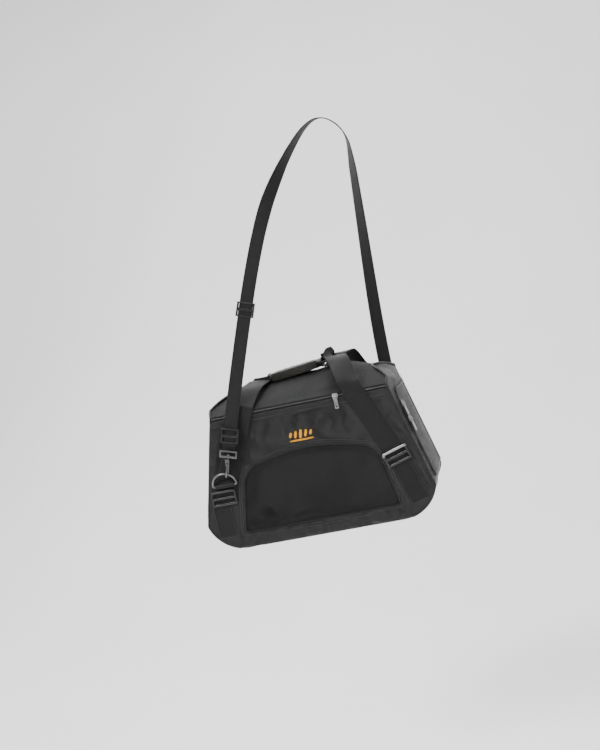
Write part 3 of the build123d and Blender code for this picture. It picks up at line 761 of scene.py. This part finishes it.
skins = {face: BVHTree.FromPolygons([vertex.co for vertex in obj.data.vertices],
                                    [tuple(polygon.vertices) for polygon in obj.data.polygons])
         for face, obj in ((-1, front), (1, back))}


def settled(x, z, face):
    """Point lying on the front or back cloth."""
    hit = skins[face].ray_cast(Vector((x * -face, 0.2 * face, z)), Vector((0, -face, 0)))[0]
    return Vector((x * -face, (hit.y if hit else face * half_depth) + face * 0.0003, z))


rim = resampled([Vector((p.x, p.y, 0)) for p in window_outline], 0.0025, True)
for face, name in ((-1, "front"), (1, "back")):
    line = [on_face(p.x, p.y, face, 0.0003) for p in rim]
    swept(name + "_window_piping", line, round_profile(0.0021), piping_cloth, "piping",
          [name + "_window_binding"], closed=True)
    middle = Vector((0, 0.095, 0))
    for offset, label in ((0.0042, "outer"), (0.0085, "second")):
        seam = []
        for p in rim:
            away = (p - middle).normalized()
            q = p + away * offset
            seam.append(settled(q.x, q.y, face))
        seam = [q for q in seam if q.z > 0.010]
        stitches(name + "_window_seam_" + label, seam + seam[:1], (0, face, 0))
    for height, label in ((0.2315, "lower"), (0.2400, "upper")):
        line = [settled(x / 1000, height, face) for x in range(-160, 161, 4) if
                abs(x / 1000) < reach(edge_y, height) - 0.002]
        stitches(name + "_band_seam_" + label, line, (0, face, 0))

# ------------------------------------------------------------------ zippers
def coil(name, line, radius=0.0015):
    """Zipper coil: a rod whose girth pulses with every turn."""
    line = resampled(line, 0.00055)
    scales = [1.0 if i % 3 else 0.74 for i in range(len(line))]
    swept(name, line, round_profile(radius, 8), coil_nylon, "zipper_tape", scales=scales)


top_half = reach(edge_y, zip_height) - 0.0025
for face, name, node in ((-1, "front_top_zip", "front_top_zip_tape"),
                         (1, "back_top_seam", "back_top_seam_tape")):
    line = [Vector((top_half * share, face * (half_depth + 0.0001), zip_height))
            for share in (-1, -0.5, 0, 0.5, 1)]
    line = resampled(line, 0.003)
    swept(name + "_cloth", line, band_profile(0.0068, 0.0010), tape_cloth, "zipper_tape", [node],
          sides=[(0, 0.12 * face, 1)] * len(line))
    if face < 0:
        coil("front_top_coil", [Vector((p.x, -half_depth - 0.0006, zip_height)) for p in line])
    else:
        stitches("back_top_stitches", [Vector((p.x, half_depth + 0.0007, zip_height)) for p in line], (0, 1, 0))


def door_line(inset):
    """Line round the door in (depth, height), from its front lower corner over the top."""
    half, head = door_half_width - inset, door_head - inset
    turn = door_corner - inset
    line = [(-half, door_sill + 0.001), (-half, head - turn)]
    quarter = [pi / 2 * i / 8 for i in range(9)]
    line += [(-half + turn - turn * cos(a), head - turn + turn * sin(a)) for a in quarter[1:]]
    line += [(half - turn + turn * sin(a), head - turn + turn * cos(a)) for a in quarter]
    line += [(half, door_sill + 0.001)]
    return resampled([Vector((y, z, 0)) for y, z in line], 0.0025)


for side, name in ((1, "right"), (-1, "left")):
    for inset, width, node, body, label in ((-0.0021, 0.0040, "_end_zip_tape", "carrier", "_end_tape"),
                                            (0.0021, 0.0036, "_door_zip_tape", name + "_door", "_door_tape")):
        pairs = [end_point(p.x, p.y, 0.0004, side) for p in door_line(inset)]
        line = [point for point, normal in pairs]
        sides = []
        for i, (point, normal) in enumerate(pairs):
            along = line[min(i + 1, len(line) - 1)] - line[max(i - 1, 0)]
            sides.append(normal.cross(along))
        swept(name + label + "_cloth", line, band_profile(width, 0.0012), tape_cloth, "zipper_tape",
              [name + node], body, sides=sides)
    line = [end_point(p.x, p.y, 0.0008, side)[0] for p in door_line(0.0)]
    coil(name + "_door_coil", line, radius=0.0013)
    seam = [end_point(p.x, p.y, 0.0012, side)[0] for p in door_line(-0.0075)]
    stitches(name + "_door_seam", seam, (side * 0.94, 0, 0.34))

    columns, rows, points, uvs = 60, 64, [], []
    for u in spans(columns):
        y = (door_half_width - 0.0008) * u
        for row in range(rows):
            over = max(abs(y) - (door_half_width - door_corner), 0)
            head = door_head - door_corner + sqrt(max(door_corner**2 - over**2, 0)) - 0.0008
            z = door_sill + 0.0012 + (head - door_sill - 0.0012) * row / (rows - 1)
            edge = min(door_half_width - abs(y), z - door_sill, door_head - z)
            swell = smoothstep(0, 0.03, edge)
            folds = ripple(y * 18, side * 3.0, z * 14) * 0.0016 - 0.0012
            points.append(end_point(y, z, swell * folds - 0.0003, side)[0])
            uvs.append((y, z))
    piece(name + "_door_net", points, grid_faces(columns, rows, flip=side > 0), window_net,
          [name + "_door_mesh"], uvs, name + "_door")


# ------------------------------------------------------------------ webbing
def webbing(name, stations, node, steps=9):
    """Handle webbing through stations of (point, direction across it)."""
    line = smooth_line([point for point, across in stations], steps)
    across = smooth_line([across for point, across in stations], steps)
    obj = swept(name, line, band_profile(web_width, web_thickness), web_cloth, "webbing", [node], sides=across)
    return obj, line


foot_gap = 0.006
drop = Vector((right_leg_foot[0] - right_glide_at[0], right_glide_at[1] - right_leg_foot[1]))
start = foot_gap / drop.length
left_sewn = ((left_leg_x, 0.0270), (left_leg_x, left_glide_at[1] - foot_gap))
right_sewn = ((right_leg_foot[0] - 0.17 * drop.x, right_leg_foot[1] + 0.17 * drop.y),
              (right_glide_at[0] + start * drop.x, right_glide_at[1] - start * drop.y))
for face, (left_node, right_node) in ((-1, ("front_left_webbing", "front_right_webbing")),
                                      (1, ("back_right_webbing", "back_left_webbing"))):
    for (foot, head), node in ((left_sewn, left_node), (right_sewn, right_node)):
        run = Vector((head[0] - foot[0], 0, head[1] - foot[1]))
        side = Vector((run.z * -face, 0, -run.x)).normalized()
        stations = []
        for share in shares(9):
            spot = Vector(((foot[0] + run.x * share) * -face, face * (sewn_y + 0.0001),
                           foot[1] + run.z * share))
            stations.append((spot, side))
        obj, line = webbing(node + "_cloth", stations, node)
        for sign in (-1, 1):
            shift = side * sign * (web_width / 2 - 0.0025) + Vector((0, face * 0.00105, 0))
            row = [point + shift for point in line]
            stitches(node + ("_stitch_a" if sign < 0 else "_stitch_b"), row, (0, face, 0))


def handle_stations(left_foot, right_foot, face, layer):
    """Stations of a handle: up both legs, over the top edge and through the padded wrap."""
    y = face * leg_y
    half_run = wrap_length / 2 + 0.006
    over = layer * 0.00105
    run, climb = half_run * cos(wrap_tilt), half_run * sin(wrap_tilt)
    level = wrap_centre.z + over
    bend = [(0.3 * foot[0] + 0.7 * top, y, 0.3 * foot[1] + 0.7 * leg_top[1]) for foot, top in
            ((left_foot, -leg_top[0]), (right_foot, leg_top[0]))]
    return [((left_foot[0], y, left_foot[1]), (0.9, 0, -0.42)),
            (bend[0], (0.9, 0, -0.42)),
            ((-leg_top[0], y + 0.0022 * face, leg_top[1] + 0.001), (0.9, 0, -0.42)),
            ((-0.098, y - 0.005 * face, 0.264), (0.95, -0.1 * face, -0.3)),
            ((-0.088, 0.070 * face, 0.281 + over), (0.95, -0.35 * face, -0.1)),
            ((-0.078, 0.032 * face, 0.287 + over), (0.7, -0.7 * face, 0)),
            ((-0.070, 0.010 * face, 0.288 + over), (0.25, -0.95 * face, 0)),
            ((wrap_centre.x - run, 0, level - climb), (0, -face, 0)),
            ((wrap_centre.x + run, 0, level + climb), (0, -face, 0)),
            ((0.060, 0.008 * face, 0.303 + over), (-0.25, -0.95 * face, 0)),
            ((0.072, 0.028 * face, 0.308 + over), (-0.7, -0.7 * face, 0)),
            ((0.084, 0.064 * face, 0.303 + over), (-0.95, -0.35 * face, 0.1)),
            ((0.096, y - 0.006 * face, 0.272), (-0.95, -0.1 * face, 0.3)),
            ((leg_top[0], y + 0.0022 * face, leg_top[1] + 0.001), (-0.9, 0, -0.42)),
            (bend[1], (-0.9, 0, -0.42)),
            ((right_foot[0], y, right_foot[1]), (-0.9, 0, -0.42))]


back_left_glide = (-right_glide_at[0], right_glide_at[1])
back_right_glide = (-left_glide_at[0], left_glide_at[1])
front_handle, front_line = webbing("front_handle_cloth", handle_stations(left_glide_at, right_glide_at, -1, 1),
                                   "front_handle_webbing")
back_handle, back_line = webbing("back_handle_cloth", handle_stations(back_left_glide, back_right_glide, 1, -1),
                                 "back_handle_webbing")


# ------------------------------------------------------------------ shoulder strap
route = bpy.data.curves.new("strap_route", "CURVE")
route.dimensions = "3D"
spline = route.splines.new("NURBS")
spline.points.add(len(strap_route) - 1)
for control, point in zip(spline.points, strap_route):
    control.co = (*point, 1)
spline.order_u = 3
spline.use_endpoint_u = True
spline.resolution_u = 16
holder = added("strap_route", route)
bpy.context.view_layer.update()
strap_line = [vertex.co.copy() for vertex in bpy.data.meshes.new_from_object(
    holder.evaluated_get(bpy.context.evaluated_depsgraph_get())).vertices]
bpy.data.objects.remove(holder)


def strap_side(place):
    """Direction across the strap, turning from point to point of its route."""
    corners = [Vector(point) for point in strap_route]
    gaps = [(place - corner).length for corner in corners]
    run = min(range(len(corners) - 1),
              key=lambda i: gaps[i] + gaps[i + 1] - (corners[i + 1] - corners[i]).length)
    share = gaps[run] / (gaps[run] + gaps[run + 1])
    return Vector(strap_across[run]) * (1 - share) + Vector(strap_across[run + 1]) * share


strap = swept("shoulder_strap_cloth", strap_line, band_profile(strap_width, strap_thickness), strap_cloth,
              "webbing", ["shoulder_strap"], sides=[strap_side(point) for point in strap_line])


# ------------------------------------------------------------------ metal pieces
def rounded(node, material, body="carrier", voxel=0.0005, smooth=3):
    """The frame's piece with its edges worn round."""
    source = nodes[node]
    mesh = source.data.copy()
    mesh.transform(source.matrix_world)
    mesh.materials.clear()
    mesh.materials.append(material)
    obj = added(node + "_rounded", mesh)
    modified(obj, ("REMESH", {"mode": "VOXEL", "voxel_size": voxel}),
             ("SMOOTH", {"factor": 0.5, "iterations": smooth}))
    obj.data.shade_smooth()
    obj.data.materials.clear()
    obj.data.materials.append(material)
    finish_piece(obj, body, [node])
    return obj


rounded("front_left_bar_buckle", black_coat, voxel=0.0006)
right_buckle = rounded("front_right_bar_buckle", black_coat, voxel=0.0006)
rounded("back_bar_buckles", black_coat, voxel=0.0006)
right_buckle.data.materials.append(nickel)
bar_up = Vector((leg_top[0] - right_leg_foot[0], 0, leg_top[1] - right_leg_foot[1])).normalized()
for face in right_buckle.data.polygons:
    height = (face.center - Vector((right_glide_at[0], face.center.y, right_glide_at[1]))).dot(bar_up)
    if height > 0.0085:
        face.material_index = 1
for end in ("front", "back"):
    rounded(end + "_ring", dull_steel, end + "_ring", 0.0006, 2)
    rounded(end + "_hook", dull_steel, end + "_hook", 0.0005, 2)
    rounded(end + "_hook_gate", dull_steel, end + "_hook_gate", 0.0004, 2)
    rounded(end + "_hook_eye", dull_steel, "carrier", 0.0005, 2)
    rounded(end + "_strap_buckle", black_coat, "carrier", 0.0005, 3)
    rounded(end + "_ring_tab", web_cloth, "carrier", 0.0006, 2)
rounded("strap_length_slider", black_coat, "strap_length_slider", 0.0005, 3)
for place in ("top_zip", "right_upper", "right_lower", "left_upper", "left_lower"):
    for part in ("_slider", "_pull"):
        rounded(place + part, nickel, place + part, 0.0003, 2)
rounded("frame_rods", rod_steel, "carrier", 0.0007, 1)
rounded("base_board", board_stuff, "carrier", 0.0012, 2)


# ------------------------------------------------------------------ padded pieces
def inflated(obj, voxel, pressure, cap, frames=20):
    """Swell a closed shape like stuffed cloth, then smooth it once."""
    modified(obj, ("REMESH", {"mode": "VOXEL", "voxel_size": voxel}))
    rest = [vertex.co.copy() for vertex in obj.data.vertices]
    cloth = obj.modifiers.new("cloth", "CLOTH")
    cloth.settings.use_pressure = True
    cloth.settings.uniform_pressure_force = pressure
    cloth.settings.effector_weights.gravity = 0
    for number in range(1, frames + 1):
        bpy.context.scene.frame_set(number)
    ready = obj.evaluated_get(bpy.context.evaluated_depsgraph_get())
    grown = [vertex.co.copy() for vertex in ready.data.vertices]
    obj.modifiers.clear()
    for vertex, old, new in zip(obj.data.vertices, rest, grown):
        move = new - old
        if move.length > cap:
            move = move.normalized() * cap
        vertex.co = old + move
    bpy.context.scene.frame_set(1)
    return modified(obj, ("SUBSURF", {"levels": 1}))


def cushion(length, width, height, centre, power):
    """Closed pad with a crowned top, its edge pulled in between the corners."""
    columns, rows, points = 30, 24, []
    for shell in (1, -1):
        for v in spans(rows):
            for u in spans(columns):
                fall = (1 - abs(u) ** power) ** 0.5 * (1 - abs(v) ** power) ** 0.5
                pinch = 1 - 0.03 * (1 - abs(u) ** 2) * abs(v) ** 6 - 0.02 * (1 - abs(v) ** 2) * abs(u) ** 6
                points.append(centre + Vector((u * length / 2 * pinch, v * width / 2 * pinch,
                                               shell * height / 2 * fall)))
    first = grid_faces(rows, columns)
    second = [tuple(index + rows * columns for index in face[::-1]) for face in first]
    rim = list(range(columns)) + [r * columns + columns - 1 for r in range(1, rows)]
    rim += [(rows - 1) * columns + c for c in range(columns - 2, -1, -1)]
    rim += [r * columns for r in range(rows - 2, 0, -1)]
    offset = rows * columns
    bridge = [(rim[i], rim[i] + offset, rim[(i + 1) % len(rim)] + offset, rim[(i + 1) % len(rim)]) for i in
              range(len(rim))]
    return points, first + second + bridge


mat_middle = 0.0115
points, faces = cushion(0.280, 0.186, 0.0105, Vector((0, 0, mat_middle)), 8)
pet_mat = piece("mat_cushion", points, faces, mat_cloth, ["padded_mat"], body="padded_mat")
inflated(pet_mat, 0.004, 1.2, 0.0008)

wrap_turn = Matrix.Rotation(-wrap_tilt, 3, "Y")


def wrap_rim(c, s, wide, high, power=2 / 2.6):
    """(across, up) of the grip's section at shares of its width and height, for an angle's cosine and sine."""
    return (wrap_width / 2 * wide * abs(c) ** power * (1 if c > 0 else -1),
            wrap_height / 2 * high * abs(s) ** power * (1 if s > 0 else -1))


points = []
columns, rows = 72, 84
for share in shares(rows):
    u = -1 + 2 * share
    taper = 1 - 0.20 * abs(u) ** 3 - 0.05 * (1 + u) / 2
    cuff = 1 + 0.05 * exp(-((abs(u) - 0.93) / 0.03) ** 2)
    for column in range(columns):
        angle = 2 * pi * column / columns
        c, s = cos(angle), sin(angle)
        across, rise = wrap_rim(c, s, 0.96, 0.94)
        crease = ripple(u * 7, c * 1.3, s * 1.3 + 4) * 0.0011
        crease += ripple(u * 22, c * 2, s * 2) * 0.0005
        grow = taper * cuff + crease / sqrt(across * across + rise * rise)
        points.append(wrap_centre + wrap_turn @ Vector((u * wrap_length / 2, across * grow, rise * grow)))
faces = grid_faces(rows, columns, True)
faces.append(tuple(reversed(range(columns))))
faces.append(tuple(range((rows - 1) * columns, rows * columns)))
grip = piece("grip_cushion", points, faces, grip_cloth, ["grip_wrap"])
for side, name in ((-1, "left"), (1, "right")):
    ring_line = []
    for i in range(64):
        angle = 2 * pi * i / 64
        across, rise = wrap_rim(cos(angle), sin(angle), 0.80, 0.80, 0.77)
        ring_line.append(wrap_centre + wrap_turn @ Vector((side * wrap_length / 2 * 0.985, across, rise)))
    swept("grip_edge_" + name, ring_line, round_profile(0.0016, 8), piping_cloth, "grip_padding", closed=True)

flap_half = (wrap_length - 0.016) / 2
flap_y = -(wrap_width / 2 + 0.0003)
points, uvs, columns, rows = [], [], 40, 14
for u in spans(columns):
    for share in shares(rows):
        rise = (wrap_height - 0.004) / 2 - share * (wrap_height - 0.004) * (1 - 0.12 * abs(u) ** 4)
        outward = -0.0009 - 0.0012 * sin(pi * share) * (1 - abs(u) ** 4)
        outward += ripple(u * 5, share * 2, 7) * 0.0004
        spot = Vector((u * flap_half * (1 - 0.03 * share), flap_y + outward, rise))
        points.append(wrap_centre + wrap_turn @ spot)
        uvs.append((u, share))
flap = piece("grip_flap_cloth", points, grid_faces(columns, rows), grip_cloth,
             ["grip_wrap_flap"], uvs, "grip_wrap_flap")
modified(flap, ("SOLIDIFY", {"thickness": 0.0012, "offset": 0.0}))
seam = [wrap_centre + wrap_turn @ Vector((u * flap_half * 0.95 / 20, flap_y - 0.0028, -0.0045))
        for u in range(-20, 21)]
stitches("grip_flap_seam", seam, (0, -1, 0), "grip_wrap_flap")

# ------------------------------------------------------------------ embroidered emblem on the front
def satin(name, shapes):
    """Gold satin stitches: each shape is (start, end, width) of a filled bar."""
    points, faces = [], []
    for (ax, az), (bx, bz), width in shapes:
        a, b = Vector((ax, 0, az)), Vector((bx, 0, bz))
        run = b - a
        count = max(int(run.length / 0.0007), 2)
        side = Vector((run.z, 0, -run.x)).normalized()
        for share in shares(count):
            half = width / 2 * (1 - abs(2 * share - 1) ** 3) ** 0.5 + 0.0003
            spot = a.lerp(b, share)
            lift = settled(spot.x, spot.z, -1).y
            line = []
            for w in spans(5):
                arc = 0.0008 * (1 - w * w)
                line.append(spot + side * half * w + Vector((0, lift - arc + 0.0004, 0)))
            rings, part, _ = sweep(line, round_profile(0.00042, 6))
            base = len(points)
            points += rings
            faces += [tuple(base + index for index in face) for face in part]
    return piece(name, points, faces, gold_thread)


emblem_x, emblem_z = -0.006, 0.190
bars = []
for i in range(5):
    x = emblem_x + (i - 2) * 0.0095
    rise = 0.0045 + 0.0035 * (1 - abs(i - 2) / 2)
    bars.append(((x - 0.002, emblem_z - rise), (x + 0.002, emblem_z + rise), 0.0042))
bars.append(((emblem_x - 0.022, emblem_z - 0.0112), (emblem_x + 0.022, emblem_z - 0.0112), 0.0022))
satin("emblem", bars)

# ------------------------------------------------------------------ stage and light
size = 7.0
floor_z = -0.60
profile = [(-size, floor_z)] + [(1.2 + 1.6 * sin(a), floor_z + 1.6 * (1 - cos(a))) for a in
                                [pi / 2 * i / 12 for i in range(13)]] + [(2.8, 6.0)]
points = [Vector((x, y, z)) for x in (-size, size) for y, z in profile]
count = len(profile)
mesh = bpy.data.meshes.new("studio_floor")
mesh.from_pydata([tuple(point) for point in points], [],
                 [(i, i + 1, count + i + 1, count + i) for i in range(count - 1)])
mesh.shade_smooth()
pale = Nodes("pale_floor")
cloud = pale.noise(pale.coordinates("Object")[0], 2, 2)
pale.link(pale.ramp(cloud, (0.90, 0.895, 0.885), (0.93, 0.925, 0.915)), pale.shader.inputs["Base Color"])
pale.put("Roughness", 0.9)
mesh.materials.append(pale.material)
floor = added("studio_floor", mesh)


def lamp(name, place, size, power, colour=(1, 1, 1)):
    data = bpy.data.lights.new(name, "AREA")
    data.size, data.energy, data.color = size, power, colour
    obj = added(name, data)
    obj.location = place
    obj.rotation_euler = (Vector((0, 0, 0.2)) - Vector(place)).to_track_quat("-Z", "Y").to_euler()


lamp("key", (-1.3, -2.0, 2.2), 0.9, 120, (1, 0.985, 0.96))
lamp("fill", (2.2, -1.6, 0.9), 1.5, 40, (0.96, 0.98, 1))
lamp("top", (0.2, 0.7, 2.6), 1.4, 40)
lamp("sweep", (0.0, 0.9, 2.4), 2.6, 60)
lamp("rim", (-1.8, 1.6, 1.2), 1.2, 22)
world = bpy.data.worlds.new("studio")
world.use_nodes = True
world.node_tree.nodes["Background"].inputs[0].default_value = (0.93, 0.95, 1, 1)
world.node_tree.nodes["Background"].inputs[1].default_value = 0.55
bpy.context.scene.world = world
